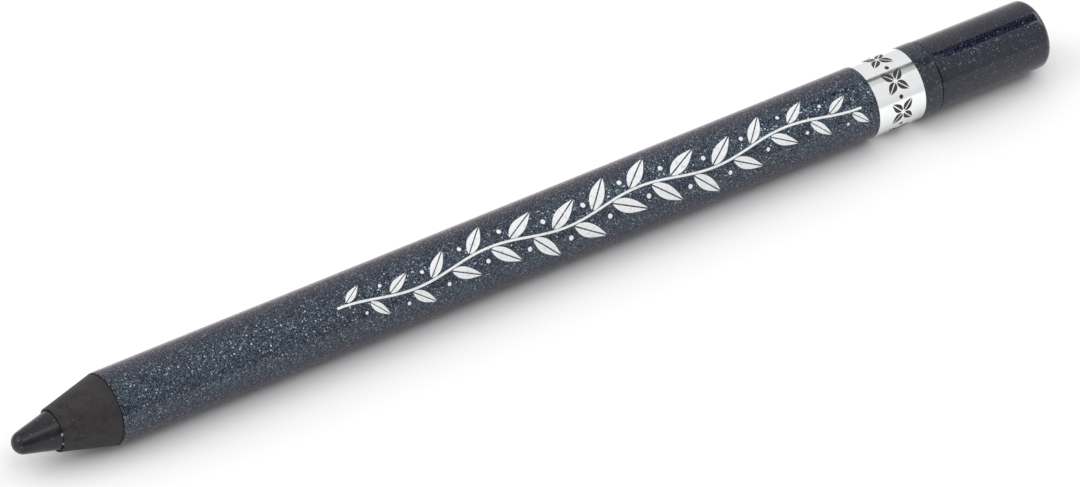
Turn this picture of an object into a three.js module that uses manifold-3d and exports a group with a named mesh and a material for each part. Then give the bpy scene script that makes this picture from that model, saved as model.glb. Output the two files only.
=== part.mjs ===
// A sharpenable eyeliner pencil, lying on its side: the tip of the lead points to -X, the rear plug to +X.
// Every piece is turned about one axis. Lengths along it are counted back from the tip of the lead.
import * as THREE from "three";
import { mergeVertices } from "three/addons/utils/BufferGeometryUtils.js";
import Module from "manifold-3d";

const wasm = await Module();
wasm.setup();

// Driving dimensions, in millimetres
const barrelDiameter = 8.0; // over the lacquer, the size that cosmetic sharpeners and caps take
const barrelLength = 103.59; // from the foot of the cone to the seam at the plug
const lacquerThickness = 0.12;
const lacquerEdgeRound = 0.1; // on the edge at the seam

const bandWidth = 6.0;
const bandSetback = 2.27; // from the band's rear edge to the seam
const bandThickness = 0.05;

const coneLength = 5.98; // from the mouth of the sheath to the foot of the cone
const mouthWall = 0.11; // sheath left round the liner at the mouth
const lipLength = 0.25; // over which the mouth is rounded
const socketWall = 0.95; // sheath left round the plug's spigot
const socketChamfer = 0.35;

const linerWall = 0.12;
const linerSetback = 0.12; // from the mouth of the sheath to the liner's front edge

const leadDiameter = 4.36;
const leadReach = 4.78; // from the mouth of the sheath to the tip
const leadTipRadius = 1.27;
const expansionSpace = 2.0; // left empty between the lead and the plug

const plugFrontDiameter = 7.86; // head at the seam, a little inside the barrel
const plugRearDiameter = 7.68; // the head tapers to this, as it leaves its mould
const plugHeadLength = 14.5;
const plugRearRound = 0.95;
const plugFrontRound = 0.15;
const spigotLength = 12.0;
const spigotChamfer = 0.6;
const crushRibCount = 6;
const crushRibHeight = 0.08;
const crushRibWidth = 0.6;
const coreDiameter = 2.8; // hollow that keeps the plug's wall even
const coreFloor = 3.0; // solid end of the head behind the hollow

// Clearances
const bondGap = 0.02; // between pieces that are cast, drawn or stamped onto each other
const spigotClearance = 0.03; // between the crush ribs and the socket
const seamGap = 0.1; // between the barrel and the plug's head
const socketRelief = 0.5; // between the end of the spigot and the socket's floor

// Facets: round pieces share one count and phase, with a flat underneath for the pencil to lie on
const sides = 32;
const roundSteps = 4;
const tipSteps = 7;
const cornerFactor = 1 / Math.cos(Math.PI / sides); // flats lie on the true radius

// Radii, from the lead outwards
const leadRadius = leadDiameter / 2;
const linerInner = leadRadius + bondGap;
const linerOuter = linerInner + linerWall;
const boreRadius = linerOuter + bondGap;
const mouthRadius = boreRadius + mouthWall;
const barrelRadius = barrelDiameter / 2;
const sheathRadius = barrelRadius - lacquerThickness;
const lacquerInner = sheathRadius + bondGap;
const bandOuter = barrelRadius;
const bandInner = bandOuter - bandThickness;
const bandSeat = bandInner - bondGap;
const socketRadius = sheathRadius - socketWall;
const ribTipRadius = socketRadius - spigotClearance;
const spigotRadius = ribTipRadius - crushRibHeight;
const plugFrontRadius = plugFrontDiameter / 2;
const plugRearRadius = plugRearDiameter / 2;

// Stations along the axis, from the tip of the lead
const mouth = leadReach;
const coneFoot = mouth + coneLength;
const seam = coneFoot + barrelLength;
const bandRear = seam - bandSetback;
const bandFront = bandRear - bandWidth;
const linerFront = mouth + linerSetback;
const shoulder = seam + seamGap;
const spigotFront = shoulder - spigotLength;
const socketFloor = spigotFront - socketRelief;
const leadRear = spigotFront - expansionSpace;
const plugRear = shoulder + plugHeadLength;
const coneSlope = (sheathRadius - mouthRadius) / (coneLength - lipLength);

const at = (radius, station) => new THREE.Vector2(radius, station);

// A rounded corner: part of an ellipse about a centre, from one angle to another
function rounded(centre, acrossRadius, alongRadius, from, to, steps = roundSteps) {
  const curve = new THREE.EllipseCurve(centre.x, centre.y, acrossRadius, alongRadius, from, to, to < from);
  return curve.getPoints(steps);
}

// A solid of revolution. Its outline runs with the material on its left: backwards along the outside.
function turned(outline) {
  const corners = outline.map((point) => at(point.x * cornerFactor, point.y));
  return new THREE.LatheGeometry(corners, sides, Math.PI / sides);
}

const ring = (outline) => turned([...outline, outline[0]]);

function solidOf(geometry) {
  const bare = geometry.clone();
  bare.deleteAttribute("normal");
  bare.deleteAttribute("uv");
  const merged = mergeVertices(bare, 1e-4);
  const vertProperties = merged.attributes.position.array;
  return new wasm.Manifold(new wasm.Mesh({ numProp: 3, vertProperties, triVerts: merged.index.array }));
}

function geometryOf(solid) {
  const { vertProperties, triVerts } = solid.getMesh();
  const geometry = new THREE.BufferGeometry();
  geometry.setAttribute("position", new THREE.BufferAttribute(vertProperties, 3));
  geometry.setIndex(new THREE.BufferAttribute(triVerts, 1));
  geometry.computeVertexNormals();
  return geometry;
}

// Sheath: lip, cone and barrel outside, rear socket and bore inside
function sheathGeometry() {
  const lip = rounded(at(boreRadius, mouth + lipLength), mouthWall, lipLength, -Math.PI / 2, 0);
  return ring([
    ...lip,
    at(sheathRadius, coneFoot),
    at(sheathRadius, seam),
    at(socketRadius + socketChamfer, seam),
    at(socketRadius, seam - socketChamfer),
    at(socketRadius, socketFloor),
    at(boreRadius, socketFloor),
  ]);
}

// Barrier liner: a plain thin tube, from just inside the mouth to the socket's floor
function linerGeometry() {
  return ring([
    at(linerInner, linerFront),
    at(linerOuter, linerFront),
    at(linerOuter, socketFloor),
    at(linerInner, socketFloor),
  ]);
}

// Lead: a round tip that runs tangent into its cone, whose foot is at the liner's front edge
function leadGeometry() {
  const tipToFoot = linerFront - leadTipRadius;
  const towardsFoot = Math.atan2(leadRadius, tipToFoot);
  const halfAngle = towardsFoot - Math.asin(leadTipRadius / Math.hypot(leadRadius, tipToFoot));
  const tip = rounded(at(0, leadTipRadius), leadTipRadius, leadTipRadius, -Math.PI / 2, -halfAngle, tipSteps);
  tip[0].x = 0;
  return turned([...tip, at(leadRadius, linerFront), at(leadRadius, leadRear), at(0, leadRear)]);
}

// Lacquer: a coat cut off on the slope of the cone, with a shallow seat for the band
function lacquerGeometry() {
  const frontOnCone = (radius) => coneFoot + (radius - sheathRadius) / coneSlope;
  const edge = at(barrelRadius - lacquerEdgeRound, seam - lacquerEdgeRound);
  return ring([
    at(lacquerInner, frontOnCone(lacquerInner)),
    at(barrelRadius, frontOnCone(barrelRadius)),
    at(barrelRadius, bandFront - bondGap),
    at(bandSeat, bandFront - bondGap),
    at(bandSeat, bandRear + bondGap),
    at(barrelRadius, bandRear + bondGap),
    ...rounded(edge, lacquerEdgeRound, lacquerEdgeRound, 0, Math.PI / 2),
    at(lacquerInner, seam),
  ]);
}

// Band: a foil ring, flush in its seat
function bandGeometry() {
  return ring([
    at(bandInner, bandFront),
    at(bandOuter, bandFront),
    at(bandOuter, bandRear),
    at(bandInner, bandRear),
  ]);
}

// One crush rib: a sharp ridge along the spigot, rooted inside it
function crushRib(turn) {
  const root = spigotRadius - crushRibWidth / 2;
  const section = new THREE.Shape();
  section.moveTo(-crushRibWidth / 2, root);
  section.lineTo(crushRibWidth / 2, root);
  section.lineTo(0, ribTipRadius);
  section.closePath();
  const depth = spigotLength - spigotChamfer;
  const ridge = new THREE.ExtrudeGeometry(section, { depth, bevelEnabled: false });
  ridge.rotateX(-Math.PI / 2);
  ridge.rotateY(turn);
  ridge.translate(0, spigotFront + spigotChamfer, 0);
  return solidOf(ridge);
}

// End plug: cored spigot with crush ribs, shoulder, and a tapered head with a rounded rear edge
function plugGeometry() {
  const coreRadius = coreDiameter / 2;
  const coreRear = plugRear - coreFloor;
  const frontEdge = at(plugFrontRadius - plugFrontRound, shoulder + plugFrontRound);
  const rearEdge = at(plugRearRadius - plugRearRound, plugRear - plugRearRound);
  const body = turned([
    at(0, coreRear),
    at(coreRadius, coreRear),
    at(coreRadius, spigotFront),
    at(spigotRadius - spigotChamfer, spigotFront),
    at(spigotRadius, spigotFront + spigotChamfer),
    at(spigotRadius, shoulder),
    ...rounded(frontEdge, plugFrontRound, plugFrontRound, -Math.PI / 2, 0),
    ...rounded(rearEdge, plugRearRound, plugRearRound, 0, Math.PI / 2, tipSteps),
    at(0, plugRear),
  ]);
  let solid = solidOf(body);
  for (let rib = 0; rib < crushRibCount; rib += 1) {
    solid = solid.add(crushRib((rib * 2 * Math.PI) / crushRibCount));
  }
  return geometryOf(solid);
}

function piece(name, geometry, color, roughness, metalness = 0) {
  const mesh = new THREE.Mesh(geometry, new THREE.MeshStandardMaterial({ color, roughness, metalness }));
  mesh.name = name;
  return mesh;
}

// The turned axis lies along X at the barrel's radius above the table
const pencil = new THREE.Group();
const axis = new THREE.Group();
axis.rotation.z = -Math.PI / 2;
axis.position.set(-plugRear / 2, 0, barrelRadius);
pencil.add(axis);

axis.add(piece("sheath", sheathGeometry(), 0x413e3e, 0.75));
axis.add(piece("barrier_liner", linerGeometry(), 0x151517, 0.5));
axis.add(piece("kohl_lead", leadGeometry(), 0x2f2f33, 0.45));
axis.add(piece("glitter_lacquer", lacquerGeometry(), 0x414851, 0.3, 0.2));
axis.add(piece("silver_band", bandGeometry(), 0xe6e8ea, 0.25, 0.9));
axis.add(piece("end_plug", plugGeometry(), 0x33343d, 0.3));

export default pencil;
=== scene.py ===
import math

import bmesh
import bpy
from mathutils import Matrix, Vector


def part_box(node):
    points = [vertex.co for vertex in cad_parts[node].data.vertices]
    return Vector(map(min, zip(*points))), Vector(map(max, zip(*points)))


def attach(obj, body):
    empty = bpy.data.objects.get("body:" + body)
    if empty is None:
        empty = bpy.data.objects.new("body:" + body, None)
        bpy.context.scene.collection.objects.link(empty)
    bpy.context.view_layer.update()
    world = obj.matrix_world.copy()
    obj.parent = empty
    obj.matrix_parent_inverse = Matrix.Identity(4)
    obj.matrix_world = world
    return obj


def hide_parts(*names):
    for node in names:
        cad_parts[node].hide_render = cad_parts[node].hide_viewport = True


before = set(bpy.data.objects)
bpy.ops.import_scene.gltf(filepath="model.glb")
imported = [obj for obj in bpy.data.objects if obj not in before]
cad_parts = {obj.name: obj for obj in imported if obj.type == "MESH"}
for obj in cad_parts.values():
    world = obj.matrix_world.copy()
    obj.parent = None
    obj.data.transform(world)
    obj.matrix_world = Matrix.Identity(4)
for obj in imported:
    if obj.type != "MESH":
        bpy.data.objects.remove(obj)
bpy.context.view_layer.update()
mm = 0.001
fullTurn = 2 * math.pi


# sizes that the solids give: ends along the pencil, radii about its axis
def ends(node):
    low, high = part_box(node)
    return low.x, high.x


def radiusOf(node):
    low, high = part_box(node)
    return (high.y - low.y) / 2


barrelRadius = radiusOf("glitter_lacquer")
sheathRadius = radiusOf("sheath")
leadRadius = radiusOf("kohl_lead")
linerRadius = radiusOf("barrier_liner")
axisHeight = barrelRadius                              # the pencil lies on its barrel
tipX, leadRearX = ends("kohl_lead")
mouthX, seamX = ends("sheath")
linerFrontX, socketFloorX = ends("barrier_liner")
bandFrontX, bandRearX = ends("silver_band")
spigotFrontX, plugRearX = ends("end_plug")
bondGap = 0.02 * mm                                    # between pieces cast or stamped onto each other
print("frame loaded:", ", ".join(sorted(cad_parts)))


# one socket of a node tree, with arithmetic
class Wire:
    def __init__(self, tree, socket=None):
        self.tree = tree
        self.socket = socket

    def node(self, kind, settings=None, values=None, out=0):
        made = self.tree.nodes.new(kind)
        for key, value in (settings or {}).items():
            setattr(made, key, value)
        for key, value in (values or {}).items():
            for one in value if isinstance(value, list) else [value]:
                if isinstance(one, Wire):
                    self.tree.links.new(one.socket, made.inputs[key])
                else:
                    made.inputs[key].default_value = one
        return Wire(self.tree, made.outputs[out] if made.outputs else None)

    def maths(self, operation, *others):
        values = dict(enumerate([self, *others]))
        return self.node("ShaderNodeMath", {"operation": operation}, values)

    def __add__(self, other):
        return self.maths("ADD", other)

    def __radd__(self, other):
        return self.maths("ADD", other)

    def __sub__(self, other):
        return self.maths("SUBTRACT", other)

    def __rsub__(self, other):
        return self.node("ShaderNodeMath", {"operation": "SUBTRACT"}, {0: other, 1: self})

    def __mul__(self, other):
        return self.maths("MULTIPLY", other)

    def __rmul__(self, other):
        return self.maths("MULTIPLY", other)

    def __truediv__(self, other):
        return self.maths("DIVIDE", other)

    def __rtruediv__(self, other):
        return self.node("ShaderNodeMath", {"operation": "DIVIDE"}, {0: other, 1: self})

    def over(self, limit):
        return self.maths("GREATER_THAN", limit)

    def under(self, limit):
        return self.maths("LESS_THAN", limit)

    def ramp(self, low, high, fromValue=0.0, toValue=1.0):
        values = {0: self, 1: low, 2: high, 3: fromValue, 4: toValue}
        return self.node("ShaderNodeMapRange", {"interpolation_type": "SMOOTHSTEP"}, values)

    def roughness(self, low, high):                    # from the usual range of a noise
        return self.ramp(0.2, 0.8, low, high)

    def mix(self, first, second):
        return self.node("ShaderNodeMix", {"data_type": "RGBA"}, {0: self, 6: first, 7: second}, 2)

    def vector(self, operation, *others, out=0):
        values = dict(enumerate([self, *others]))
        return self.node("ShaderNodeVectorMath", {"operation": operation}, values, out)

    def scaled(self, amount):
        return self.node("ShaderNodeVectorMath", {"operation": "SCALE"}, {0: self, "Scale": amount})

    def part(self, axis):
        return self.node("ShaderNodeSeparateXYZ", {}, {0: self}, "XYZ".index(axis))

    def noise(self, scale, detail=2.0, rough=0.5):
        values = {"Vector": self, "Scale": scale, "Detail": detail, "Roughness": rough}
        return self.node("ShaderNodeTexNoise", {}, values)

    def cells(self, scale, out="Distance"):
        return self.node("ShaderNodeTexVoronoi", {}, {"Vector": self, "Scale": scale}, out)

    def dots(self, scale, size, empty):                # in some of the cells, the empty share left out
        return self.cells(scale).under(size) * self.cells(scale, "Color").part("X").over(empty)

    def bump(self, strength, depth):
        return self.node("ShaderNodeBump", {}, {"Strength": strength, "Distance": depth, "Height": self})


# a material with a Principled surface: fixed holds constants, varied holds wires
def newMaterial(name):
    material = bpy.data.materials.new(name)
    material.use_nodes = True
    tree = material.node_tree
    tree.nodes.clear()
    return material, Wire(tree).node("ShaderNodeTexCoord", out="Object")


def finishMaterial(place, fixed, varied):
    surface = place.node("ShaderNodeBsdfPrincipled", {}, {**fixed, **varied})
    place.node("ShaderNodeOutputMaterial", {}, {"Surface": surface})


# flakes: cells of a given pitch, some of them silver plates that tilt each its own way
def flakeLayer(place, layer):
    spot = place.vector("ADD", layer["shift"])
    chance = spot.cells(1 / layer["pitch"], "Color")
    near = spot.cells(1 / layer["pitch"]).under(layer["size"])
    return chance.part("X").over(1 - layer["share"]) * near, chance


def flakeMaterial(name, look, stretches=()):
    material, place = newMaterial(name)
    along = place.part("X")
    normal = place.node("ShaderNodeNewGeometry", out="Normal")
    color = look["base"]
    gloss = look["coatWeight"]
    kept = 1                                           # share of the flakes
    cover = None
    tilted = normal
    for stretch in stretches:                          # a base, a share of flakes and a gloss of their own
        inside = along.over(stretch["start"]) * along.under(stretch["stop"])
        color = inside.mix(color, stretch["base"])
        kept = kept - inside * (1 - stretch["flakes"])
        gloss = gloss - inside * (look["coatWeight"] - stretch["gloss"])
    for layer in look["layers"]:
        shown, chance = flakeLayer(place, layer)
        shown = shown * kept
        color = shown.mix(color, chance.part("Y").mix(layer["dull"], layer["bright"]))
        lean = chance.vector("SUBTRACT", (0.5, 0.5, 0.5)).scaled(layer["lean"])
        tilted = shown.mix(tilted, normal.vector("ADD", lean).vector("NORMALIZE"))
        cover = shown if cover is None else cover.maths("MAXIMUM", shown)
    fixed = {
        "Coat Roughness": look["coatRough"],
        "Coat IOR": 1.5,
        "Specular IOR Level": 0.0,
        "Specular Tint": look["edgeTint"],
    }
    varied = {
        "Base Color": color,
        "Metallic": cover,
        "Roughness": cover.ramp(0, 1, look["baseRough"], look["flakeRough"]),
        "Normal": tilted,
        "Coat Weight": gloss,
    }
    finishMaterial(place, fixed, varied)
    return material


# turned pieces: an outline of (place along, radius) points goes round the pencil's axis
def arc(along, radius, length, height, start, stop, steps=8):
    turns = [math.radians(start + (stop - start) * step / steps) for step in range(steps + 1)]
    return [(along + length * math.cos(turn), radius + height * math.sin(turn)) for turn in turns]


def spread(outline, closed, longest):
    points = []
    following = outline[1:] + (outline[:1] if closed else [])
    for (x0, r0), (x1, r1) in zip(outline, following):
        pieces = max(1, math.ceil(math.hypot(x1 - x0, r1 - r0) / longest))
        for step in range(pieces):
            share = step / pieces
            points.append((x0 + (x1 - x0) * share, r0 + (r1 - r0) * share))
    return points if closed else points + [outline[-1]]


def smoothed(data, sharp):
    data.polygons.foreach_set("use_smooth", [True] * len(data.polygons))
    data.set_sharp_from_angle(angle=math.radians(sharp))


def turned(name, outline, material, closed=True, longest=1.5 * mm, sides=160, sharp=30):
    mesh = bmesh.new()
    rings = []
    for along, radius in spread(outline, closed, longest):
        if radius == 0:                                # a pole on the axis
            rings.append([mesh.verts.new((along, 0, axisHeight))])
            continue
        ring = []
        for side in range(sides):
            turn = fullTurn * side / sides
            across, up = -radius * math.cos(turn), radius * math.sin(turn)
            ring.append(mesh.verts.new((along, across, axisHeight + up)))
        rings.append(ring)
    for first, second in zip(rings, rings[1:] + (rings[:1] if closed else [])):
        for side in range(sides):
            after = (side + 1) % sides
            if len(first) == 1:
                mesh.faces.new((first[0], second[side], second[after]))
            elif len(second) == 1:
                mesh.faces.new((first[side], second[0], first[after]))
            else:
                mesh.faces.new((first[side], second[side], second[after], first[after]))
    bmesh.ops.recalc_face_normals(mesh, faces=mesh.faces)
    data = bpy.data.meshes.new(name)
    mesh.to_mesh(data)
    mesh.free()
    smoothed(data, sharp)
    data.materials.append(material)
    made = bpy.data.objects.new(name, data)
    bpy.context.scene.collection.objects.link(made)
    return made


# geometry trees: a dictionary of sizes gives the tree its named inputs
socketKinds = {int: "NodeSocketInt", float: "NodeSocketFloat", bpy.types.Material: "NodeSocketMaterial"}


def newTree(name, sizes):
    tree = bpy.data.node_groups.new(name, "GeometryNodeTree")
    tree.interface.new_socket("Geometry", in_out="OUTPUT", socket_type="NodeSocketGeometry")
    for label, value in sizes.items():
        tree.interface.new_socket(label, in_out="INPUT", socket_type=socketKinds[type(value)])
    source = tree.nodes.new("NodeGroupInput")
    return tree, {label: Wire(tree, source.outputs[label]) for label in sizes}


def joined(*shapes):
    return shapes[0].node("GeometryNodeJoinGeometry", {}, {0: list(shapes)})


def realized(shape):
    return shape.node("GeometryNodeRealizeInstances", {}, {0: shape})


def moved(shape, x, y, z):
    spot = shape.node("ShaderNodeCombineXYZ", {}, {0: x, 1: y, 2: z})
    return shape.node("GeometryNodeSetPosition", {}, {"Geometry": shape, "Position": spot})


def placed(points, shape, axis, turn, scale=(1, 1, 1)):
    spin = points.node("ShaderNodeCombineXYZ", {}, {axis: turn})
    spin = points.node("FunctionNodeEulerToRotation", {}, {0: spin})
    values = {"Points": points, "Instance": shape, "Rotation": spin, "Scale": scale}
    return points.node("GeometryNodeInstanceOnPoints", {}, values)


def finishTree(shape, material):
    values = {"Geometry": realized(shape), "Material": material}
    whole = shape.node("GeometryNodeSetMaterial", {}, values)
    shape.node("NodeGroupOutput", {}, {0: whole})


def grown(name, tree, sizes, sharp=30):
    made = bpy.data.objects.new(name, bpy.data.meshes.new(name))
    bpy.context.scene.collection.objects.link(made)
    modifier = made.modifiers.new("grow", "NODES")
    modifier.node_group = tree
    for item in tree.interface.items_tree:
        if item.in_out == "INPUT":
            modifier[item.identifier] = sizes[item.name]
    graph = bpy.context.evaluated_depsgraph_get()
    data = bpy.data.meshes.new_from_object(made.evaluated_get(graph), depsgraph=graph)
    made.modifiers.remove(modifier)
    made.data = data
    data.name = name
    smoothed(data, sharp)
    return made


# sheath: lip, cone and barrel outside, socket and bore inside
sheath = {
    "coneLength": 5.98 * mm,
    "lipWall": 0.11 * mm,
    "lipLength": 0.25 * mm,
    "socketRadius": 2.93 * mm,
    "socketChamfer": 0.35 * mm,
    "dark": (0.014, 0.012, 0.012, 1),
    "pale": (0.035, 0.031, 0.031, 1),
    "cloud": (900, 4),                                 # noises: scale, detail, roughness
    "grain": (9000, 3, 0.6),
    "toneRange": (0.38, 0.62),
    "patches": (1100, 2),
    "patchRange": (0.55, 0.68),
    "pits": (1500, 0.22, 0.65),                        # dots: scale, size, empty share
    "specks": (2300, 0.16, 0.6),
    "pitShift": (0.3, 0.5, 0.1),                       # so that pits and patches miss the specks
    "patchColor": (0.006, 0.005, 0.005, 1),
    "pitColor": (0.004, 0.003, 0.003, 1),
    "speckColor": (0.16, 0.155, 0.155, 1),
    "patchStrength": 0.5,
    "pitStrength": 0.75,
    "speckStrength": 0.5,
    "scuffStart": 1.2 * mm,                            # behind the mouth, where the marks start to thin out
    "scuffEnd": 4.5 * mm,
    "scuffLeft": 0.2,
    "cutPitch": 0.16 * mm,                             # fine rings left by the cutter
    "cutHeight": 0.12,
    "pitDepth": 0.6,
    "bump": (0.5, 0.012 * mm),                         # strength, depth
    "rough": (0.55, 0.68),
    "specular": 0.35,
}
coneFootX = mouthX + sheath["coneLength"]
boreRadius = linerRadius + bondGap


def sheathMaterial():
    material, place = newMaterial("charcoalPlastic")
    along = place.part("X")
    apart = place.vector("ADD", sheath["pitShift"])
    cloud = place.noise(*sheath["cloud"])
    grain = place.noise(*sheath["grain"])
    tone = ((cloud + grain) * 0.5).ramp(*sheath["toneRange"])
    color = tone.mix(sheath["dark"], sheath["pale"])
    startX, endX = mouthX + sheath["scuffStart"], mouthX + sheath["scuffEnd"]
    scuffed = along.ramp(startX, endX, 1.0, sheath["scuffLeft"])
    patches = apart.noise(*sheath["patches"]).ramp(*sheath["patchRange"])
    pits = apart.dots(*sheath["pits"])
    specks = place.dots(*sheath["specks"])
    color = (patches * scuffed * sheath["patchStrength"]).mix(color, sheath["patchColor"])
    color = (pits * scuffed * sheath["pitStrength"]).mix(color, sheath["pitColor"])
    color = (specks * scuffed * sheath["speckStrength"]).mix(color, sheath["speckColor"])
    cuts = (along * (fullTurn / sheath["cutPitch"])).maths("SINE")
    height = grain + cuts * sheath["cutHeight"] - pits * sheath["pitDepth"]
    varied = {
        "Base Color": color,
        "Roughness": cloud.roughness(*sheath["rough"]),
        "Normal": height.bump(*sheath["bump"]),
    }
    finishMaterial(place, {"Specular IOR Level": sheath["specular"]}, varied)
    return material


def makeSheath():
    lip, wall = sheath["lipLength"], sheath["lipWall"]
    outline = [
        *arc(mouthX + lip, boreRadius, lip, wall, 180, 90),
        (coneFootX, sheathRadius),
        (seamX, sheathRadius),
        (seamX, sheath["socketRadius"] + sheath["socketChamfer"]),
        (seamX - sheath["socketChamfer"], sheath["socketRadius"]),
        (socketFloorX, sheath["socketRadius"]),
        (socketFloorX, boreRadius),
    ]
    return turned("sheath_tube", outline, sheathMaterial())


# liner: the thin dark tube round the lead
liner = {
    "dark": (0.004, 0.004, 0.004, 1),
    "pale": (0.010, 0.010, 0.011, 1),
    "cloud": (2500, 3),
    "rough": (0.4, 0.6),
}


def linerMaterial():
    material, place = newMaterial("blackFilm")
    cloud = place.noise(*liner["cloud"])
    varied = {
        "Base Color": cloud.mix(liner["dark"], liner["pale"]),
        "Roughness": cloud.roughness(*liner["rough"]),
    }
    finishMaterial(place, {}, varied)
    return material


def makeLiner():
    inner = leadRadius + bondGap
    outline = [
        (linerFrontX, inner),
        (linerFrontX, linerRadius),
        (socketFloorX, linerRadius),
        (socketFloorX, inner),
    ]
    return turned("liner_tube", outline, linerMaterial())


# lead: a round tip that runs tangent into its cone
lead = {
    "tipRadius": 1.27 * mm,
    "dark": (0.0095, 0.0095, 0.012, 1),
    "pale": (0.019, 0.019, 0.023, 1),
    "cloud": (1500, 4),
    "cloudStretch": (0.35, 1.0, 1.0),                  # streaks along the lead
    "toneRange": (0.3, 0.7),
    "grain": (7000, 2),
    "grainHeight": 0.25,
    "specks": (1700, 0.10),                            # pale grains: cell scale, size
    "speckColor": (0.30, 0.31, 0.34, 1),
    "speckStrength": 0.6,
    "crumbs": (1100, 0.2),                             # larger ones, near the liner's edge
    "crumbShift": (0.2, 0.6, 0.4),
    "crumbStretch": 1.3 * mm,
    "crumbColor": (0.55, 0.56, 0.58, 1),
    "crumbStrength": 0.8,
    "bump": (0.35, 0.03 * mm),
    "rough": (0.2, 0.32),
    "specular": 0.34,
}


def leadMaterial():
    material, place = newMaterial("kohlWax")
    cloud = place.vector("MULTIPLY", lead["cloudStretch"]).noise(*lead["cloud"])
    grain = place.noise(*lead["grain"])
    color = cloud.ramp(*lead["toneRange"]).mix(lead["dark"], lead["pale"])
    scale, size = lead["specks"]
    specks = place.cells(scale).under(size)
    color = (specks * lead["speckStrength"]).mix(color, lead["speckColor"])
    near = place.part("X").ramp(linerFrontX - lead["crumbStretch"], linerFrontX)
    scale, size = lead["crumbs"]
    crumbs = place.vector("ADD", lead["crumbShift"]).cells(scale).under(size) * near
    color = (crumbs * lead["crumbStrength"]).mix(color, lead["crumbColor"])
    varied = {
        "Base Color": color,
        "Roughness": cloud.roughness(*lead["rough"]),
        "Normal": (cloud + grain * lead["grainHeight"]).bump(*lead["bump"]),
    }
    finishMaterial(place, {"Specular IOR Level": lead["specular"]}, varied)
    return material


def makeLead():
    tip = lead["tipRadius"]
    reach = linerFrontX - tipX - tip
    lean = math.degrees(math.atan2(leadRadius, reach) - math.asin(tip / math.hypot(leadRadius, reach)))
    outline = [
        *arc(tipX + tip, 0, tip, tip, 180, 90 + lean, steps=20),
        (linerFrontX, leadRadius),
        (leadRearX, leadRadius),
        (leadRearX, 0),
    ]
    outline[0] = (tipX, 0)                             # exactly on the axis
    return turned("lead_core", outline, leadMaterial(), closed=False, longest=0.4 * mm)


# lacquer: the coat with flakes, cut off on the slope of the cone
lacquer = {
    "edgeRound": 0.1 * mm,
    "bandDepth": 0.07 * mm,
    "cutBack": 0.18 * mm,                              # how far down the slope the flakes reach
    "edgeShadeWidth": 0.09 * mm,                              # width of a painted shade line in front of them
    "base": (0.0085, 0.0095, 0.0185, 1),
    "edgeTint": (0.72, 0.5, 0.58, 1),                  # what the flakes keep at a glancing angle
    "faceColor": (0.046, 0.043, 0.043, 1),             # where the coat is cut off on the cone
    # painted shade: a dark line where the coat ends on the cone, standing in for the shade at its edge
    "edgeShadeColor": (0.008, 0.008, 0.008, 1),
    "collarColor": (0.013, 0.017, 0.024, 1),           # behind the band, with few flakes
    "collarFlakes": 0.35,
    "coatWeight": 0.8,
    "coatRough": 0.08,
    "baseRough": 0.5,
    "flakeRough": 0.28,
    "layers": [
        {"pitch": 0.10 * mm, "share": 0.6, "size": 0.6, "shift": (0, 0, 0), "lean": 0.5,
         "dull": (0.032, 0.050, 0.073, 1), "bright": (0.11, 0.16, 0.215, 1)},
        {"pitch": 0.2 * mm, "share": 0.16, "size": 0.42, "shift": (0.4, 0.7, 0.2), "lean": 0.6,
         "dull": (0.13, 0.175, 0.22, 1), "bright": (0.32, 0.385, 0.44, 1)},
    ],
}


def makeLacquer():
    inner = sheathRadius + bondGap
    rise = sheathRadius - boreRadius - sheath["lipWall"]
    slope = rise / (sheath["coneLength"] - sheath["lipLength"])

    def onCone(radius):
        return coneFootX + (radius - sheathRadius) / slope

    edge = lacquer["edgeRound"]
    seat = barrelRadius - lacquer["bandDepth"]
    outline = [
        (onCone(inner), inner),
        (onCone(barrelRadius), barrelRadius),
        (bandFrontX - bondGap, barrelRadius),
        (bandFrontX - bondGap, seat),
        (bandRearX + bondGap, seat),
        (bandRearX + bondGap, barrelRadius),
        *arc(seamX - edge, barrelRadius - edge, edge, edge, 90, 0),
        (seamX, inner),
    ]
    flakesX = onCone(barrelRadius) - lacquer["cutBack"]
    # the painted shade line lies just in front of the flakes
    shadeLineX = flakesX - lacquer["edgeShadeWidth"]
    stretches = [
        {"start": tipX, "stop": shadeLineX, "base": lacquer["faceColor"], "flakes": 0, "gloss": 0},
        {"start": shadeLineX, "stop": flakesX, "base": lacquer["edgeShadeColor"], "flakes": 0, "gloss": 0},
        {"start": bandRearX, "stop": plugRearX, "base": lacquer["collarColor"],
         "flakes": lacquer["collarFlakes"], "gloss": lacquer["coatWeight"]},
    ]
    return turned("lacquer_coat", outline, flakeMaterial("flakeLacquer", lacquer, stretches))


# band: foil, flush in its seat
band = {
    "thickness": 0.05 * mm,
    "dark": (0.90, 0.91, 0.92, 1),
    "pale": (0.97, 0.98, 0.98, 1),
    "cloud": (700, 3),
    "rough": (0.1, 0.17),
}


def foilMaterial():
    material, place = newMaterial("silverFoil")
    cloud = place.noise(*band["cloud"])
    varied = {
        "Base Color": cloud.mix(band["dark"], band["pale"]),
        "Roughness": cloud.roughness(*band["rough"]),
    }
    finishMaterial(place, {"Metallic": 1.0}, varied)
    return material


def makeBand():
    inner = barrelRadius - band["thickness"]
    outline = [
        (bandFrontX, inner),
        (bandFrontX, barrelRadius),
        (bandRearX, barrelRadius),
        (bandRearX, inner),
    ]
    return turned("foil_band", outline, foilMaterial())


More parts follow.
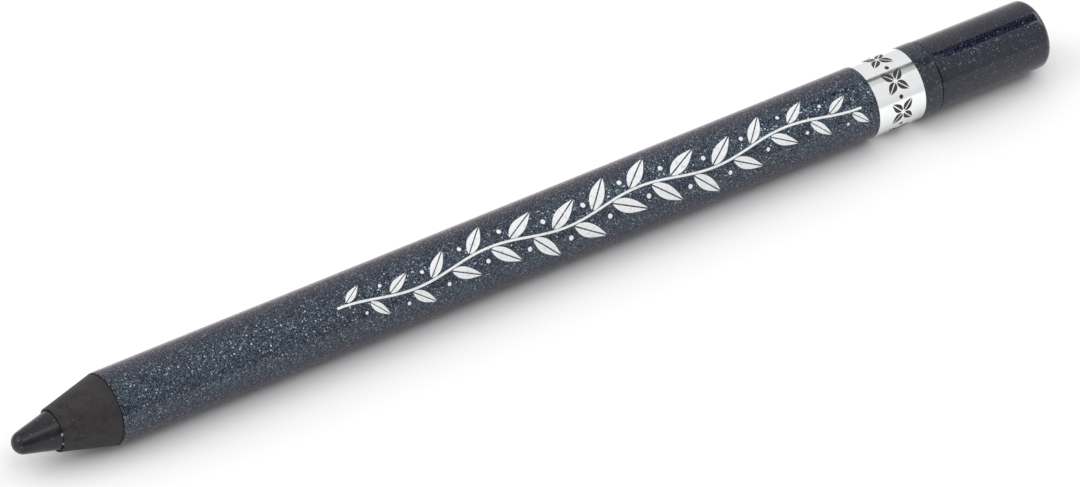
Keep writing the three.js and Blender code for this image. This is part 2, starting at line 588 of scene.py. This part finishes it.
# plug: a tapered head with a rounded rear edge, and a cored spigot
plug = {
    "seamGap": 0.1 * mm,
    "frontRadius": 3.93 * mm,
    "rearRadius": 3.84 * mm,
    "frontRound": 0.15 * mm,
    "rearRound": 0.95 * mm,
    "spigotRadius": 2.82 * mm,
    "spigotChamfer": 0.6 * mm,
    "coreRadius": 1.4 * mm,
    "coreFloor": 3.0 * mm,
    "base": (0.006, 0.0075, 0.018, 1),
    "edgeTint": (0.7, 0.5, 0.6, 1),
    "coatWeight": 1.0,
    "coatRough": 0.06,
    "baseRough": 0.5,
    "flakeRough": 0.28,
    "layers": [
        {"pitch": 0.11 * mm, "share": 0.35, "size": 0.55, "shift": (0.3, 0.1, 0.9), "lean": 0.5,
         "dull": (0.008, 0.010, 0.020, 1), "bright": (0.035, 0.042, 0.07, 1)},
        {"pitch": 0.17 * mm, "share": 0.1, "size": 0.45, "shift": (0.6, 0.2, 0.5), "lean": 0.5,
         "dull": (0.03, 0.04, 0.07, 1), "bright": (0.10, 0.125, 0.18, 1)},
    ],
}
plugPlastic = flakeMaterial("flakePlastic", plug)
shoulderX = seamX + plug["seamGap"]


def makePlug():
    front, rear = plug["frontRound"], plug["rearRound"]
    outline = [
        (plugRearX - plug["coreFloor"], 0),
        (plugRearX - plug["coreFloor"], plug["coreRadius"]),
        (spigotFrontX, plug["coreRadius"]),
        (spigotFrontX, plug["spigotRadius"] - plug["spigotChamfer"]),
        (spigotFrontX + plug["spigotChamfer"], plug["spigotRadius"]),
        (shoulderX, plug["spigotRadius"]),
        *arc(shoulderX + front, plug["frontRadius"] - front, front, front, 180, 90),
        *arc(plugRearX - rear, plug["rearRadius"] - rear, rear, rear, 90, 0, steps=14),
        (plugRearX, 0),
    ]
    return turned("rear_plug", outline, plugPlastic, closed=False)


# crush ribs on the spigot: sharp ridges, rooted inside it
ribs = {
    "count": 6,
    "front": spigotFrontX + plug["spigotChamfer"],
    "rear": shoulderX,
    "root": plug["spigotRadius"] - 0.3 * mm,
    "tip": plug["spigotRadius"] + 0.08 * mm,
    "width": 0.6 * mm,
    "axis": axisHeight,
    "plastic": plugPlastic,
}


def makeRibs():
    tree, size = newTree("crushRibs", ribs)
    length = size["rear"] - size["front"]
    # a bar of three sides: its corners lie at 1 and -0.5 outwards, and half the root of 3 to each side,
    # and the minus keeps its faces outwards as its long side turns from Z to X
    values = {"Vertices": 3, "Radius": 1.0, "Depth": length}
    bar = length.node("GeometryNodeMeshCylinder", {}, values, "Mesh")
    spot = bar.node("GeometryNodeInputPosition")
    along = spot.part("Z") + (size["front"] + size["rear"]) / 2
    across = spot.part("Y") * size["width"] / -math.sqrt(3)
    outwards = size["root"] + (spot.part("X") + 0.5) / 1.5 * (size["tip"] - size["root"])
    ridge = moved(bar, along, across, outwards)
    points = bar.node("GeometryNodePoints", {}, {"Count": size["count"]})
    turn = bar.node("GeometryNodeInputIndex") * fullTurn / size["count"]
    ring = realized(placed(points, ridge, "X", turn))
    spot = ring.node("GeometryNodeInputPosition")
    ring = moved(ring, spot.part("X"), spot.part("Y"), spot.part("Z") + size["axis"])
    finishTree(ring, size["plastic"])
    return grown("spigot_ribs", tree, ribs)


# prints: flat shapes in a plane, given the thickness of ink and wrapped round the barrel
prints = {
    "sunk": 0.4,                                       # share of the ink that lies in what carries it
    "weld": 0.001 * mm,
    "leafPoints": (19, 5),                             # along and across each half of a leaf
    "leafBelly": 0.75,                                 # below 1, a leaf is widest nearer the stalk
    "dotCorners": 18,
    "cloud": (2600, 3),
    "toneRange": (0.3, 0.7),
    "grain": (16000, 2),
    "pinholes": 0.78,                                  # noise below this is a pinhole in the ink
    "pinholeColor": (0.12, 0.13, 0.15, 1),
    "pinholeStrength": 0.5,
    "bump": (0.3, 0.006 * mm),
    "specular": 0.4,
}


def inkMaterial(name, pale, dark, rough):
    material, place = newMaterial(name)
    cloud = place.noise(*prints["cloud"])
    grain = place.noise(*prints["grain"])
    tone = cloud.ramp(*prints["toneRange"]).mix(dark, pale)
    worn = (cloud + grain).under(prints["pinholes"])
    varied = {
        "Base Color": (worn * prints["pinholeStrength"]).mix(tone, prints["pinholeColor"]),
        "Roughness": cloud.roughness(*rough),
        "Normal": grain.bump(*prints["bump"]),
    }
    finishMaterial(place, {"Specular IOR Level": prints["specular"]}, varied)
    return material


def leafShape(size):
    length, midrib = size["leafLength"], size["midrib"]
    pointsAlong, pointsAcross = prints["leafPoints"]
    values = {"Size X": 1.0, "Size Y": 1.0, "Vertices X": pointsAlong, "Vertices Y": pointsAcross}
    sheet = length.node("GeometryNodeMeshGrid", {}, values)
    spot = length.node("GeometryNodeInputPosition")
    along, across = spot.part("X") + 0.5, spot.part("Y") + 0.5
    belly = (along.maths("POWER", prints["leafBelly"]) * math.pi).maths("SINE")
    aside = midrib / 2 + across * belly * (size["leafWidth"] - midrib) / 2
    half = moved(sheet, along * length, aside, 0.0)
    other = half.node("GeometryNodeTransform", {}, {"Geometry": half, "Scale": (1, -1, 1)})
    other = half.node("GeometryNodeFlipFaces", {}, {0: other})
    return joined(half, other)


def dotShape(size):
    values = {"Vertices": prints["dotCorners"], "Radius": size["dotSize"] / 2}
    return size["dotSize"].node("GeometryNodeMeshCircle", {"fill_type": "TRIANGLE_FAN"}, values)


def pointRow(count, start, step):
    begin = count.node("ShaderNodeCombineXYZ", {}, start)
    pitch = count.node("ShaderNodeCombineXYZ", {}, step)
    values = {"Count": count, "Start Location": begin, "Offset": pitch}
    return count.node("GeometryNodeMeshLine", {"mode": "OFFSET"}, values)


def welded(shape):
    values = {"Geometry": shape, "Distance": prints["weld"]}
    return shape.node("GeometryNodeMergeByDistance", {}, values)


def wrapped(shapes, size):
    flat = welded(realized(shapes))
    values = {"Mesh": flat, "Offset Scale": size["ink"], "Individual": False}
    raised = flat.node("GeometryNodeExtrudeMesh", {}, values)
    under = flat.node("GeometryNodeFlipFaces", {}, {0: flat})
    solid = welded(joined(raised, under))
    spot = solid.node("GeometryNodeInputPosition")
    turn = spot.part("Y") / size["radius"] + size["turn"]
    outwards = size["radius"] + spot.part("Z") - size["ink"] * prints["sunk"]
    across = turn.maths("COSINE") * outwards * -1
    up = turn.maths("SINE") * outwards + size["axis"]
    return moved(solid, spot.part("X") + size["middle"], across, up)


# barrel print: a swaying branch with leaves on alternate sides and dots between them, in white ink
branch = {
    "length": 66.0 * mm,
    "middle": coneFootX + 60.3 * mm,
    "turn": math.radians(42),                          # up from the front
    "waves": 3.5,
    "sway": 0.55 * mm,
    "stemWidth": 0.26 * mm,
    "leafCount": 26,
    "leafLength": 4.3 * mm,
    "leafWidth": 1.55 * mm,
    "leafAngle": math.radians(36),
    "midrib": 0.16 * mm,
    "stalkGap": 0.3 * mm,
    "dotSize": 0.55 * mm,
    "dotReach": 1.3 * mm,
    "dotPlace": 1.2,                                   # the first dot, in leaf pitches from the start
    "endScale": 0.55,                                  # of the leaves and dots at both ends
    "ink": 0.012 * mm,
    "radius": barrelRadius,
    "axis": axisHeight,
    "paint": inkMaterial("whiteInk", (0.86, 0.87, 0.88, 1), (0.80, 0.81, 0.82, 1), (0.35, 0.5)),
}


def makeBranch():
    tree, size = newTree("branchPrint", branch)
    length, count = size["length"], size["leafCount"]
    wave = size["waves"] * fullTurn / length
    values = {"Size X": length, "Size Y": size["stemWidth"], "Vertices X": 201, "Vertices Y": 3}
    strip = length.node("GeometryNodeMeshGrid", {}, values)
    spot = length.node("GeometryNodeInputPosition")
    along = spot.part("X")
    swing = (along * wave).maths("SINE") * size["sway"]
    slope = ((along * wave).maths("COSINE") * wave * size["sway"]).maths("ARCTANGENT")
    stem = moved(strip, along, spot.part("Y") + swing, 0.0)
    side = 1 - length.node("GeometryNodeInputIndex").maths("MODULO", 2.0) * 2
    swell = ((along / length + 0.5) * math.pi).maths("SINE")
    taper = size["endScale"] + swell * (1 - size["endScale"])
    pitch = length / count
    leafPoints = pointRow(count, {"X": pitch / 2 - length / 2}, {"X": pitch})
    leafPoints = moved(leafPoints, along, swing + side * size["stalkGap"], 0.0)
    leaves = placed(leafPoints, leafShape(size), "Z", slope + side * size["leafAngle"], taper)
    dotPoints = pointRow(count - 1, {"X": pitch * size["dotPlace"] - length / 2}, {"X": pitch})
    dotPoints = moved(dotPoints, along, swing - side * size["dotReach"], 0.0)
    dots = placed(dotPoints, dotShape(size), "Z", 0.0, taper)
    finishTree(wrapped(joined(stem, leaves, dots), size), size["paint"])
    return grown("barrel_print", tree, branch)


# band print: rosettes of four leaves with dots between them, in dark ink
rosettes = {
    "count": 7,
    "petals": 4,
    "petalTurn": math.radians(45),
    "middle": (bandFrontX + bandRearX) / 2,
    "turn": math.radians(52),
    "leafLength": 1.55 * mm,
    "leafWidth": 0.95 * mm,
    "midrib": 0.12 * mm,
    "core": 0.2 * mm,
    "dotSize": 0.5 * mm,
    "ink": 0.012 * mm,
    "radius": barrelRadius,
    "axis": axisHeight,
    "paint": inkMaterial("darkInk", (0.030, 0.030, 0.033, 1), (0.020, 0.020, 0.022, 1), (0.4, 0.55)),
}


def makeRosettes():
    tree, size = newTree("rosettePrint", rosettes)
    count, petals = size["count"], size["petals"]
    pitch = size["radius"] * fullTurn / count
    index = count.node("GeometryNodeInputIndex")
    corners = count.node("GeometryNodeMeshCircle", {}, {"Vertices": petals, "Radius": size["core"]})
    flower = placed(corners, leafShape(size), "Z", index * fullTurn / petals)
    flowers = placed(pointRow(count, {}, {"Y": pitch}), flower, "Z", size["petalTurn"])
    dots = placed(pointRow(count, {"Y": pitch / 2}, {"Y": pitch}), dotShape(size), "Z", 0.0)
    finishTree(wrapped(joined(flowers, dots), size), size["paint"])
    return grown("band_print", tree, rosettes)


# each turned piece stands for its solid
madePieces = {
    "sheath": (makeSheath(), "pencil", "charcoal_plastic"),
    "barrier_liner": (makeLiner(), "pencil", "black_film"),
    "kohl_lead": (makeLead(), "pencil", "kohl_wax"),
    "glitter_lacquer": (makeLacquer(), "pencil", "flake_lacquer"),
    "silver_band": (makeBand(), "pencil", "silver_foil"),
    "end_plug": (makePlug(), "plug", "flake_plastic"),
}
for node, (piece, body, slot) in madePieces.items():
    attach(piece, body)
    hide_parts(node)
print("pieces turned:", ", ".join(piece.name for piece, body, slot in madePieces.values()))

spigotRibs = makeRibs()
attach(spigotRibs, "plug")
for printed in (makeBranch(), makeRosettes()):
    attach(printed, "pencil")
print("ribs and prints grown")


# floor, light and camera
stage = {"floorSize": 6.0, "floorColor": (0.97, 0.97, 0.97, 1)}
light = {
    "walls": 0.848,                                    # a white tent
    "front": {                                         # its open side, with angles in degrees
        "towards": (-0.15, -0.98, 0.1),
        "inside": 12,
        "outside": 42,
        "left": 0.32,                                  # share of the walls' light that comes in there
    },
    "boxes": [
        {"place": (-0.5, 0.15, 0.45), "towards": (0.5, -0.15, -0.45), "size": (0.5, 0.5), "power": 1.15},
        {"place": (0.48, -0.02, 0.34), "towards": (-0.42, 0.02, -0.34), "size": (0.35, 0.35), "power": 0.76},
        {"place": (-0.12, -0.22, 0.4), "towards": (0.06, 0.22, -0.4), "size": (0.17, 0.17), "power": 0.175},
    ],
    "card": {                                          # its reflection is the dark streak on band and plug
        "corners": [(0.18, 0.052), (0.18, 0.0), (0.205, -0.012),
                    (0.215, -0.092), (0.30, -0.092), (0.30, 0.052)],
        "height": 0.3,
        "color": (0.1, 0.1, 0.1, 1),
    },
}
view = {
    "azimuth": -34.113,
    "elevation": 36.890,
    "distance": 1.2,
    "lens": 381.66,
    "sensor": 36,
    "clip": (0.01, 50),
    "target": (0.275 * mm, 0, 4.0 * mm),
    "right": 0.327 * mm,                               # the aim's shift in the picture
    "up": -1.047 * mm,
}


def makeSheet(name, corners, finish, color):
    material, place = newMaterial(finish)
    matte = place.node("ShaderNodeBsdfDiffuse", {}, {"Color": color})
    place.node("ShaderNodeOutputMaterial", {}, {"Surface": matte})
    data = bpy.data.meshes.new(name)
    data.from_pydata(corners, [], [range(len(corners))])
    data.materials.append(material)
    made = bpy.data.objects.new(name, data)
    bpy.context.scene.collection.objects.link(made)
    return made


def makeFloor():
    half = stage["floorSize"] / 2
    corners = [(-half, -half, 0), (half, -half, 0), (half, half, 0), (-half, half, 0)]
    floor = makeSheet("floor", corners, "paleFloor", stage["floorColor"])


def makeCard():
    card = light["card"]
    corners = [(x, y, card["height"]) for x, y in card["corners"]]
    made = makeSheet("darkCard", corners, "blackCard", card["color"])
    made.visible_camera = False


def makeTent():
    world = bpy.data.worlds.new("tent")
    world.use_nodes = True
    bpy.context.scene.world = world
    tree = world.node_tree
    tree.nodes.clear()
    way = Wire(tree).node("ShaderNodeTexCoord", out="Generated")
    front = light["front"]
    facing = way.vector("DOT_PRODUCT", Vector(front["towards"]).normalized()[:], out="Value")
    rim, middle = math.cos(math.radians(front["outside"])), math.cos(math.radians(front["inside"]))
    level = facing.ramp(rim, middle, light["walls"], light["walls"] * front["left"])
    glow = way.node("ShaderNodeBackground", {}, {"Color": (1, 1, 1, 1), "Strength": level})
    way.node("ShaderNodeOutputWorld", {}, {"Surface": glow})


def makeBoxes():
    for box in light["boxes"]:
        lamp = bpy.data.lights.new("softBox", "AREA")
        lamp.shape = "RECTANGLE"
        lamp.size, lamp.size_y = box["size"]
        lamp.energy = box["power"]
        made = bpy.data.objects.new("softBox", lamp)
        made.location = box["place"]
        made.visible_camera = False
        made.rotation_mode = "QUATERNION"
        made.rotation_quaternion = Vector(box["towards"]).to_track_quat("-Z", "Y")
        bpy.context.scene.collection.objects.link(made)


def makeCamera():
    turn, lift = math.radians(view["azimuth"]), math.radians(view["elevation"])
    back = Vector((math.sin(turn) * math.cos(lift), -math.cos(turn) * math.cos(lift), math.sin(lift)))
    right = Vector((math.cos(turn), math.sin(turn), 0))
    aim = Vector(view["target"]) + right * view["right"] + back.cross(right) * view["up"]
    data = bpy.data.cameras.new("camera")
    data.sensor_width = view["sensor"]
    data.lens = view["lens"]
    data.clip_start, data.clip_end = view["clip"]
    camera = bpy.data.objects.new("camera", data)
    camera.location = aim + back * view["distance"]
    camera.rotation_mode = "QUATERNION"
    camera.rotation_quaternion = (-back).to_track_quat("-Z", "Y")
    bpy.context.scene.collection.objects.link(camera)
    bpy.context.scene.camera = camera


makeFloor()
makeTent()
makeBoxes()
makeCard()
makeCamera()
bpy.context.scene.view_settings.view_transform = "Standard"
print("floor, light and camera set")
